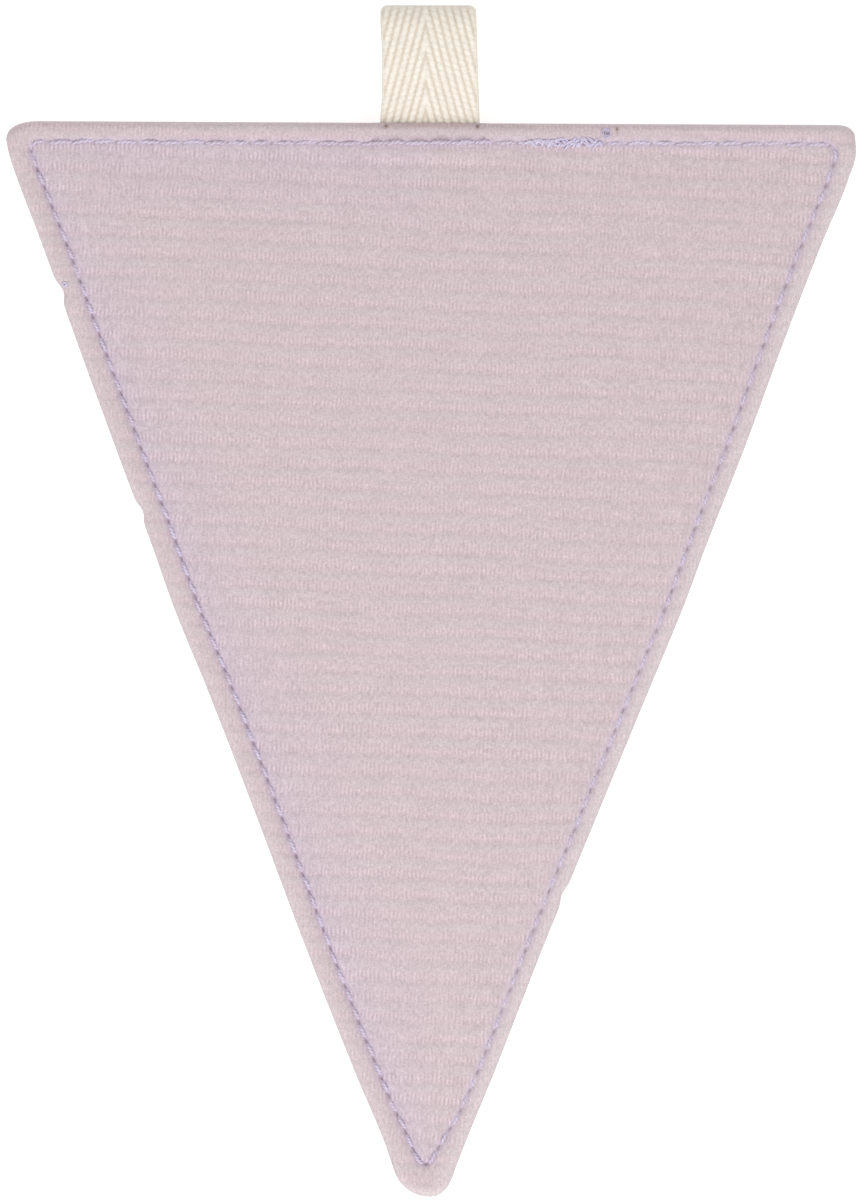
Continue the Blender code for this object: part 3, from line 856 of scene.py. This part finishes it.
def make_velour(name, colours):
    """Knitted velour, its loops cut and brushed: matt and soft, with painted sheen making the edges pale.

    Each rib shows a pinker half with a comb of upright tufts and a greyer, smoother half, with painted shade in
    its furrows and painted light on its lower flank. The rolled edge is painted paler as sheen and its outer rim
    darker as shade; by the thread the cloth is lilac, partly the thread's colour and partly painted groove
    shade, and just inside the left side it is painted lilac as light from the left.
    """
    material, tree, shader, place = start_material(name)

    def value(attribute):
        return node(tree, "ShaderNodeAttribute", attribute_name=attribute).outputs["Fac"]

    # Painted shade and light across each rib: the ramp darkens the deep and the faint furrow as painted shade
    # and lightens the pinker lower flank as painted light from below
    phase = math_node(tree, "FRACT", value("rib"))
    rib = ramp(
        tree,
        phase,
        (
            (0.0, "#CFBFC3"),
            (0.1, "#D4C0C5"),
            (0.24, "#DAC7CC"),
            (0.38, "#D8C5CA"),
            (0.5, "#D3C3C7"),
            (0.62, "#D4C7CA"),
            (0.86, "#D3C5C8"),
            (0.96, "#CFBFC3"),
        ),
    )
    patches = noise(tree, place, 7.0, 0.1, 1.0, 3.0, (1.6, 1.0, 1.0))
    colour = mix_colours(tree, patches, colours.velour, rib)
    wave = math_node(tree, "SINE", math_node(tree, "MULTIPLY", value("tuft"), 2 * math.pi))
    wave = math_node(tree, "MULTIPLY", wave, noise(tree, place, 1.4, 0.1, 1.0, 2.0, (1.0, 0.6, 1.0)))
    comb = math_node(tree, "MULTIPLY", wave, value("comb"))
    tone = math_node(tree, "MULTIPLY_ADD", comb, -0.17, 1.0)
    # Painted shade: darkens the outermost rim of the rolled edge
    tone = math_node(tree, "MULTIPLY", tone, math_node(tree, "MULTIPLY_ADD", value("rim"), -0.15, 1.0))
    for size, swing, detail, stretch in (
        (0.55, 0.12, 3.0, (0.6, 1.6, 1.0)),
        (0.3, 0.11, 1.0, (1.0, 1.0, 1.0)),
        (4.0, 0.025, 2.0, (1.0, 1.0, 1.0)),
    ):
        grain = noise(tree, place, size, 1 - swing, 1 + swing, detail, stretch)
        tone = math_node(tree, "MULTIPLY", tone, grain)
    # Lilac: thread colour and painted groove shade by the stitch, painted light inside the left side
    colour = mix_colours(tree, value("lilac"), colour, "#CDBFD4")
    # Painted sheen: the rolled edge painted paler and greyer
    colour = mix_colours(tree, value("painted_sheen"), colour, "#DDD2D4")
    # Painted shade: the slits at the needle holes, where the pile closes over the thread, darkened to purple
    # grey
    colour = mix_colours(tree, value("slit"), colour, "#A08C9B")
    # Painted shade: the seam pits darkened to brown
    colour = mix_colours(tree, value("painted_pit_shade"), colour, "#8A6F62")
    speckled = node(tree, "ShaderNodeVectorMath", {0: colour, 3: tone}, operation="SCALE")
    tree.links.new(speckled.outputs[0], shader.inputs["Base Color"])
    shader.inputs["Roughness"].default_value = 0.95
    shader.inputs["Specular IOR Level"].default_value = 0.12
    shader.inputs["Sheen Weight"].default_value = 0.12
    shader.inputs["Sheen Roughness"].default_value = 0.4
    shader.inputs["Sheen Tint"].default_value = hex_to_linear("#F0F0F4")
    bump = node(tree, "ShaderNodeBump", {"Height": noise(tree, place, 0.3, 0.0, 1.0, 2.0)}, input_Strength=0.35)
    bump.inputs["Distance"].default_value = 0.1 * METRES
    tree.links.new(bump.outputs[0], shader.inputs["Normal"])
    return material


def make_thread_material(colours):
    """Spun polyester topstitching thread, two plies twisted: smooth, with pile over it where it has sunk."""
    material, tree, shader, place = start_material("spun_polyester_thread")
    sunk = node(tree, "ShaderNodeAttribute", attribute_name="sunk").outputs["Fac"]
    crease = node(tree, "ShaderNodeAttribute", attribute_name="crease").outputs["Fac"]
    colour = mix_colours(tree, sunk, colours.thread, colours.velour)
    # Painted shade: darker in the creases between the twisted plies
    colour = mix_colours(tree, math_node(tree, "MULTIPLY", crease, 0.55), colour, "#A395B8")
    fibres = noise(tree, place, 0.25, 0.86, 1.14)
    uneven = node(tree, "ShaderNodeVectorMath", {0: colour, 3: fibres}, operation="SCALE")
    tree.links.new(uneven.outputs[0], shader.inputs["Base Color"])
    shader.inputs["Roughness"].default_value = 0.5
    shader.inputs["Specular IOR Level"].default_value = 0.35
    shader.inputs["Sheen Weight"].default_value = 0.15
    return material


def make_tape_material(colours):
    """Undyed cotton herringbone tape, woven from soft spun yarn: matt, the yarns pale and the furrows painted
    straw as shade.
    """
    material, tree, shader, place = start_material("cotton_herringbone_tape")
    furrow = node(tree, "ShaderNodeAttribute", attribute_name="furrow").outputs["Fac"]
    low = node(tree, "ShaderNodeMapRange", {0: furrow}, interpolation_type="SMOOTHSTEP")
    low.inputs["From Min"].default_value = 0.05
    low.inputs["From Max"].default_value = 0.95
    # Painted shade: the furrows between the yarns darkened to straw
    colour = mix_colours(tree, low.outputs[0], colours.tape, "#DCD0BF")
    colour = mix_colours(tree, noise(tree, place, 2.0, 0.0, 0.3), colour, "#EFE5D8")
    # Painted shade at the top of the fold and along the selvedges
    painted_tape_shade = node(tree, "ShaderNodeAttribute", attribute_name="painted_tape_shade").outputs["Fac"]
    colour = mix_colours(tree, painted_tape_shade, colour, "#D2C9BB")
    fine = noise(tree, place, 0.35, 0.9, 1.1, 3.0)
    tone = math_node(tree, "MULTIPLY", fine, noise(tree, place, 1.5, 0.97, 1.03))
    uneven = node(tree, "ShaderNodeVectorMath", {0: colour, 3: tone}, operation="SCALE")
    tree.links.new(uneven.outputs[0], shader.inputs["Base Color"])
    shader.inputs["Roughness"].default_value = 0.85
    shader.inputs["Specular IOR Level"].default_value = 0.2
    shader.inputs["Sheen Weight"].default_value = 0.08
    bump = node(tree, "ShaderNodeBump", {"Height": noise(tree, place, 0.22, 0.0, 1.0, 2.0)}, input_Strength=0.4)
    bump.inputs["Distance"].default_value = 0.05 * METRES
    tree.links.new(bump.outputs[0], shader.inputs["Normal"])
    return material


def tape_run():
    """The tape's middle line in side view, as (level, height), from its lower end to its upper."""
    lower = SEAM_LEVEL - TAPE_LEG_SPACING / 2
    upper = SEAM_LEVEL + TAPE_LEG_SPACING / 2
    radius = (LOOP_HEIGHT - TAPE_THICKNESS) / 2
    centre_level = TAPE_TOP_LEVEL - LOOP_HEIGHT / 2
    centre_height = LOOP_HEIGHT / 2
    ground = TAPE_THICKNESS / 2
    top = LOOP_HEIGHT - TAPE_THICKNESS / 2
    run = [(TAPE_END_LEVEL, lower)]
    for t in np.linspace(0.0, 1.0, TAPE_FALL_POINTS):
        ease = smooth_step(t)
        level = TAPE_SEAM_LEVEL + (TAPE_SETTLED_LEVEL - TAPE_SEAM_LEVEL) * t
        run.append((level, lower + (ground - lower) * ease))
    for angle in np.linspace(-math.pi / 2, math.pi / 2, TAPE_FOLD_POINTS):
        run.append((centre_level + radius * math.cos(angle), centre_height + radius * math.sin(angle)))
    for t in np.linspace(1.0, 0.0, TAPE_FOLD_POINTS)[1:]:
        ease = math.sin(t * math.pi / 2) ** TAPE_RISE_POWER
        run.append((TAPE_SEAM_LEVEL + (centre_level - TAPE_SEAM_LEVEL) * t, upper + (top - upper) * ease))
    run.append((TAPE_END_LEVEL, upper))
    return np.array(run)


def make_tape(material, sizes):
    """One band of herringbone tape, folded, with both ends between the panels and its weave raised."""
    run = tape_run()
    far = np.concatenate([[0.0], np.cumsum(np.linalg.norm(np.diff(run, axis=0), axis=1))])
    stations = int(far[-1] / TAPE_STATION)
    at = np.linspace(0.0, far[-1], stations)
    line = np.column_stack([np.interp(at, far, run[:, axis]) for axis in (0, 1)])
    along = np.gradient(line, axis=0)
    along /= np.linalg.norm(along, axis=1)[:, None]
    outward = np.column_stack([along[:, 1], -along[:, 0]])
    columns = TAPE_COLUMNS
    share = np.linspace(0.0, 1.0, columns)
    levels = [row["level"] for row in TAPE_WIDTHS]
    fold_start = TAPE_TOP_LEVEL - LOOP_HEIGHT
    ridge = sizes.weave_ridge / METRES
    lean = math.tan(math.radians(RIDGE_LEAN))
    points = []
    furrows = []
    painted_tape_shades = []
    for face in (1.0, -1.0):
        for number in range(stations):
            level, height = line[number]
            left = np.interp(level, levels, [row["left"] for row in TAPE_WIDTHS])
            right = np.interp(level, levels, [row["right"] for row in TAPE_WIDTHS])
            x = left + (right - left) * share
            from_middle = np.abs(x - TAPE_SPINE)
            # Ridges lean towards the spine as they climb the loop's upper side
            climbs = at[-1] - at[number]
            phase = (from_middle + lean * climbs) / ridge
            across_ridge = np.abs(np.cos(np.pi * phase)) ** RIDGE_POWER
            grain = climbs / YARN_LENGTH + np.round(phase) * 0.5 + YARN_LEAN * (phase - np.round(phase))
            yarn = np.abs(np.sin(np.pi * grain)) ** YARN_POWER
            relief = across_ridge * ((1 - YARN_SHARE) + YARN_SHARE * yarn)
            smoothed = smooth_step((level - TAPE_TOP_LEVEL) / FOLD_SMOOTHED + 1)
            relief = relief * (1 - smoothed) + FOLD_RELIEF * smoothed
            edge = np.minimum(share, 1 - share) / SELVEDGE_SHARE
            relief = np.where(edge < 1, 0.6 + 0.2 * yarn, relief)
            half = TAPE_THICKNESS / 2 - YARN_DEPTH * (1 - relief)
            half = half * np.sqrt(np.clip(1 - (1 - np.minimum(edge, 1.0)) ** 2 * 0.5, 0.0, 1.0))
            in_fold = max(level - fold_start, 0.0) / LOOP_HEIGHT
            corner = np.maximum(1 - np.minimum(share, 1 - share) / TAPE_CORNER_REACH, 0.0) ** 2
            drop = TAPE_CORNER_DROP * in_fold**2 * corner
            side = outward[number] * face
            points.append(np.column_stack([x, level - drop + side[0] * half, height + side[1] * half]))
            furrows.append(1 - relief)
            # Painted shade where the fold turns away and along the selvedges
            painted_tape_shades.append(np.maximum(smoothed * FOLD_PAINTED_SHADE, SELVEDGE_PAINTED_SHADE * np.clip(1 - edge / 2.5, 0.0, 1.0)))
    points = np.vstack(points)
    faces = []
    inner = stations * columns
    for number in range(stations - 1):
        base = number * columns
        for column in range(columns - 1):
            a = base + column
            b = a + columns
            faces.append((a, b, b + 1, a + 1))
            faces.append((inner + a, inner + a + 1, inner + b + 1, inner + b))
        last = base + columns - 1
        faces.append((base, inner + base, inner + base + columns, base + columns))
        faces.append((last, last + columns, inner + last + columns, inner + last))
    for column in range(columns - 1):
        a = column
        faces.append((a, a + 1, inner + a + 1, inner + a))
        b = (stations - 1) * columns + column
        faces.append((b, inner + b, inner + b + 1, b + 1))
    tape = mesh_object("herringbone_tape", points, faces, material)
    add_point_values(tape, "furrow", np.concatenate(furrows))
    add_point_values(tape, "painted_tape_shade", np.concatenate(painted_tape_shades))
    return tape


def tube(path, across, size, sides, twist):
    """Rings of a two-ply thread along a path, half as wide as size and flatter, and how deep each point lies
    between the plies, which turn by twist a step."""
    path = np.asarray(path)
    along = np.gradient(path, axis=0)
    along /= np.linalg.norm(along, axis=1)[:, None]
    aside = np.asarray(across)
    up = np.cross(aside, along)
    up /= np.linalg.norm(up, axis=1)[:, None]
    aside = np.cross(along, up)
    angles = np.linspace(0.0, 2 * np.pi, sides, endpoint=False)
    steps = np.arange(len(path))[:, None]
    crease = 0.5 - 0.5 * np.cos(2 * (angles[None, :] - steps * twist))
    ply = 1.08 - 0.3 * crease
    wide = size[:, None] * np.cos(angles)[None, :] * ply
    high = 0.8 * size[:, None] * np.sin(angles)[None, :] * ply
    points = path[:, None, :] + wide[..., None] * aside[:, None, :] + high[..., None] * up[:, None, :]
    return points.reshape(-1, 3), crease.ravel()


def tube_faces(rings, sides, start):
    """Faces of one closed tube whose points begin at start."""
    faces = []
    for ring in range(rings - 1):
        for side in range(sides):
            a = start + ring * sides + side
            b = start + ring * sides + (side + 1) % sides
            faces.append((a, b, b + sides, a + sides))
    faces.append(tuple(start + side for side in reversed(range(sides))))
    faces.append(tuple(start + (rings - 1) * sides + side for side in range(sides)))
    return faces


def thread_piece(name, threads, sunk, sides, material):
    """One joined mesh of threads, each given as its rings and creases, and how far each is sunk in the pile."""
    faces = []
    start = 0
    for points, _ in threads:
        faces += tube_faces(len(points) // sides, sides, start)
        start += len(points)
    piece = mesh_object(name, np.vstack([points for points, _ in threads]), faces, material)
    add_point_values(piece, "crease", np.concatenate([crease for _, crease in threads]))
    add_point_values(piece, "sunk", np.concatenate([np.full(len(t[0]), s) for t, s in zip(threads, sunk)]))
    return piece


def left_of(flat):
    """The direction to the left of a flat path, at each of its points."""
    heading = np.gradient(flat, axis=0)
    heading /= np.linalg.norm(heading, axis=1)[:, None]
    return np.column_stack([-heading[:, 1], heading[:, 0]])


def level_across(normal):
    """Flat directions as ones in space."""
    return np.column_stack([normal, np.zeros(len(normal))])


def make_topstitch(name, side, seam_level, material, sizes):
    """One face's row of lockstitches, each thread rising from its hole and going in at the next."""
    rng = np.random.default_rng(SEED + len(name))
    line = stitch_line()
    holes = needle_holes(line, np.random.default_rng(SEED))
    total = travelled(line)[-1]
    outward = 1.0 if side == "front" else -1.0
    t = np.linspace(0.0, 1.0, FLOAT["stations"])
    threads = []
    for hole, following in zip(holes, np.append(holes[1:], holes[0] + total)):
        middle = loop_read(line, np.array([(hole + following) / 2]))
        share, wiggle, groove = (float(run_values(middle, key)[0]) for key in ("float", "wiggle", "groove"))
        half = (following - hole) * (0.5 * share + FLOAT["past_hole"])
        flat = loop_read(line, (hole + following) / 2 + half * (2 * t - 1))
        normal = left_of(flat)
        bends = np.interp(t, np.linspace(0.0, 1.0, FLOAT["bends"]), rng.normal(0.0, wiggle, FLOAT["bends"]))
        flat = flat + normal * (FLOAT["skew"] * (t - 0.5) + rng.normal(0.0, FLOAT["aside"]) + bends)[:, None]
        rise = np.sin(np.pi * t) ** 0.5
        height = FLOAT["ends"] - groove + (FLOAT["rise"] + rng.normal(0.0, FLOAT["uneven"])) * rise + bends
        height += FLOAT["over_pocket"] * POCKET_LIFT * pocket_share(flat)
        if side == "back":
            height = np.minimum(height, BACK_DEEPEST - THREAD_CLEAR_OF_FLOOR)
        path = np.column_stack([flat, seam_level + outward * height])
        size = sizes.thread_width / METRES / 2 * rng.uniform(0.9, 1.12) * (0.6 + 0.4 * rise)
        threads.append(tube(path, level_across(normal), size, FLOAT["sides"], FLOAT["twist"]))
    return thread_piece(name, threads, rng.uniform(*SUNK_FLOATS, len(threads)), FLOAT["sides"], material)


def make_back_tack(material, sizes):
    """Stitches sewn over each other where the seam starts and ends, a frayed end and a stray loop."""
    rng = np.random.default_rng(SEED + 3)
    width = sizes.thread_width / METRES
    t = np.linspace(-0.5, 0.5, TACK_STATIONS)
    threads = []
    for number in range(BACK_TACK["floats"]):
        along = (number + rng.uniform(0.0, 1.0)) / BACK_TACK["floats"]
        x = BACK_TACK["from"] + (BACK_TACK["to"] - BACK_TACK["from"]) * along
        y = BACK_TACK["level"] + BACK_TACK["spread"] * rng.uniform(-1.0, 1.0) * np.sin(np.pi * along) ** 0.3
        lean = math.radians(rng.choice([-1.0, 1.0]) * rng.uniform(*BACK_TACK["leans"]))
        length = rng.uniform(*BACK_TACK["lengths"])
        flat = np.column_stack([x + length * t * math.cos(lean), y + length * t * math.sin(lean)])
        height = FRONT_SEAM_LEVEL + BACK_TACK["height"] + BACK_TACK["rise"] * np.cos(np.pi * t) ** 0.7
        height += rng.uniform(0.0, BACK_TACK["layers"])
        across = np.tile([-math.sin(lean), math.cos(lean), 0.0], (TACK_STATIONS, 1))
        size = width * BACK_TACK["width"] * (0.6 + 0.4 * np.cos(np.pi * t))
        threads.append(tube(np.column_stack([flat, height]), across, size, TACK_SIDES, TACK_TWIST))
    for _ in range(FRAYED_END["strands"]):
        turn = rng.uniform(0.0, 2 * np.pi) + FRAYED_END["turn"] * t
        reach = FRAYED_END["reach"] * rng.uniform(0.3, 1.0)
        flat = np.column_stack([FRAYED_END["x"] + reach * np.cos(turn), FRAYED_END["y"] + reach * np.sin(turn)])
        height = FRONT_SEAM_LEVEL + FRAYED_END["height"] + 0.3 * np.cos(np.pi * t) + rng.uniform(0.0, 0.15)
        path = np.column_stack([flat, height])
        size = np.full(TACK_STATIONS, width * FRAYED_END["width"])
        threads.append(tube(path, level_across(left_of(flat)), size, TACK_SIDES, TACK_TWIST))
    route = np.array(STRAY_LOOP)
    spots = np.linspace(0.0, len(route) - 1.0, TACK_STATIONS)
    flat = np.column_stack([smooth_through(np.arange(len(route)), route[:, axis], spots) for axis in (0, 1)])
    height = FRONT_SEAM_LEVEL + STRAY_LOOP_HEIGHT + 0.25 * np.cos(np.pi * t)
    path = np.column_stack([flat, height])
    size = np.full(TACK_STATIONS, width * STRAY_LOOP_WIDTH)
    threads.append(tube(path, level_across(left_of(flat)), size, TACK_SIDES, TACK_TWIST))
    sunk = [0.0] * BACK_TACK["floats"] + [0.2] * FRAYED_END["strands"] + [0.1]
    return thread_piece("back_tack", threads, sunk, TACK_SIDES, material)


class BUNTING_OT_stage(bpy.types.Operator):
    """Pale floor, soft studio light and the camera straight over the flag."""

    bl_idname = "bunting.stage"
    bl_label = "Stage, light and camera"

    def execute(self, context):
        scene = context.scene
        camera_data = bpy.data.cameras.new("camera")
        camera = bpy.data.objects.new("camera", camera_data)
        scene.collection.objects.link(camera)
        camera_data.sensor_width = SENSOR
        camera_data.lens = CAMERA_LENS
        x = ((PHOTO_WIDTH / 2) - ORIGIN_COLUMN) * PHOTO_PIXEL
        y = (ORIGIN_ROW - PHOTO_HEIGHT / 2) * PHOTO_PIXEL
        distance = PHOTO_HEIGHT * PHOTO_PIXEL * CAMERA_LENS / SENSOR
        camera.location = Vector((x, y, FACE_LEVEL + distance)) * METRES
        camera_data.clip_start = 0.05
        camera_data.clip_end = 20.0
        scene.camera = camera
        floor_material, tree, shader, place = start_material("white_paper_floor")
        shader.inputs["Base Color"].default_value = (0.9, 0.9, 0.9, 1.0)
        shader.inputs["Roughness"].default_value = 1.0
        shader.inputs["Specular IOR Level"].default_value = 0.0
        shader.inputs["Emission Color"].default_value = (1.0, 1.0, 1.0, 1.0)
        shader.inputs["Emission Strength"].default_value = 0.45
        half = FLOOR_HALF_WIDTH
        corners = [(-half, -half, 0.0), (half, -half, 0.0), (half, half, 0.0), (-half, half, 0.0)]
        floor = mesh_object("floor", corners, [(0, 1, 2, 3)], floor_material, smooth=False)
        floor.location.z = -FLOOR_CLEARANCE * METRES
        world = bpy.data.worlds.new("soft_light")
        world.use_nodes = True
        background = world.node_tree.nodes["Background"]
        background.inputs["Color"].default_value = (1.0, 1.0, 1.0, 1.0)
        background.inputs["Strength"].default_value = SKY_STRENGTH
        scene.world = world
        key_data = bpy.data.lights.new("key", "AREA")
        key_data.shape = "DISK"
        key_data.size = KEY_SIZE
        key_data.energy = KEY_WATTS
        key = bpy.data.objects.new("key", key_data)
        key.location = KEY_PLACE
        key.rotation_euler = (Vector((0.0, 0.0, 0.0)) - key.location).to_track_quat("-Z", "Y").to_euler()
        scene.collection.objects.link(key)
        scene.view_settings.view_transform = "Standard"
        return {"FINISHED"}


class BUNTING_OT_front_cloth(bpy.types.Operator):
    """The front triangle of ribbed velour."""

    bl_idname = "bunting.front_cloth"
    bl_label = "Front cloth"

    def execute(self, context):
        sizes = context.scene.bunting_sizes
        velour = make_velour("brushed_rib_velour_front", context.scene.bunting_colours)
        cloth = make_cloth(
            "front_cloth", "front", FRONT_SEAM_LEVEL, velour, sizes, TUFT_PITCH / 2, RIB_PITCH / ROWS_PER_RIB
        )
        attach(cloth, "root")
        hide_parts("front_panel")
        return {"FINISHED"}


class BUNTING_OT_back_cloth(bpy.types.Operator):
    """The back triangle of ribbed velour."""

    bl_idname = "bunting.back_cloth"
    bl_label = "Back cloth"

    def execute(self, context):
        sizes = context.scene.bunting_sizes
        velour = make_velour("brushed_rib_velour_back", context.scene.bunting_colours)
        cloth = make_cloth(
            "back_cloth", "back", BACK_SEAM_LEVEL, velour, sizes, TUFT_PITCH * 0.75, RIB_PITCH / ROWS_PER_RIB
        )
        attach(cloth, "root")
        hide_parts("back_panel")
        return {"FINISHED"}


class BUNTING_OT_tape(bpy.types.Operator):
    """The folded loop of herringbone tape."""

    bl_idname = "bunting.tape"
    bl_label = "Tape loop"

    def execute(self, context):
        material = make_tape_material(context.scene.bunting_colours)
        tape = make_tape(material, context.scene.bunting_sizes)
        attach(tape, "root")
        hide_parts("tape_loop")
        return {"FINISHED"}


class BUNTING_OT_topstitch(bpy.types.Operator):
    """The topstitching round the front and the back."""

    bl_idname = "bunting.topstitch"
    bl_label = "Topstitching"

    def execute(self, context):
        thread = make_thread_material(context.scene.bunting_colours)
        for side, level in (("front", FRONT_SEAM_LEVEL), ("back", BACK_SEAM_LEVEL)):
            row = make_topstitch(f"topstitch_{side}", side, level, thread, context.scene.bunting_sizes)
            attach(row, "root")
        tack = make_back_tack(thread, context.scene.bunting_sizes)
        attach(tack, "root")
        return {"FINISHED"}


class BUNTING_OT_declare(bpy.types.Operator):
    """A step that does nothing."""

    bl_idname = "bunting.declare"
    bl_label = "Cloth sizes"

    def execute(self, context):
        return {"FINISHED"}


class BUNTING_PT_panel(bpy.types.Panel):
    """Sizes, colours and steps of the flag."""

    bl_idname = "BUNTING_PT_panel"
    bl_label = "Bunting flag"
    bl_space_type = "VIEW_3D"
    bl_region_type = "UI"
    bl_category = "Bunting"

    def draw(self, context):
        for group in (context.scene.bunting_sizes, context.scene.bunting_colours):
            for name in group.__annotations__:
                self.layout.prop(group, name)
        for step in STEPS:
            self.layout.operator(step.bl_idname)


STEPS = (
    BUNTING_OT_stage,
    BUNTING_OT_front_cloth,
    BUNTING_OT_back_cloth,
    BUNTING_OT_tape,
    BUNTING_OT_topstitch,
    BUNTING_OT_declare,
)
CLASSES = (BuntingSizes, BuntingColours, BUNTING_PT_panel) + STEPS


def register():
    for kind in CLASSES:
        bpy.utils.register_class(kind)
    bpy.types.Scene.bunting_sizes = bpy.props.PointerProperty(type=BuntingSizes)
    bpy.types.Scene.bunting_colours = bpy.props.PointerProperty(type=BuntingColours)


def unregister():
    del bpy.types.Scene.bunting_colours
    del bpy.types.Scene.bunting_sizes
    for kind in reversed(CLASSES):
        bpy.utils.unregister_class(kind)


def main():
    register()
    bpy.ops.bunting.stage()
    bpy.ops.bunting.front_cloth()
    bpy.ops.bunting.back_cloth()
    bpy.ops.bunting.tape()
    bpy.ops.bunting.topstitch()
    bpy.ops.bunting.declare()


if __name__ == "__main__":
    main()
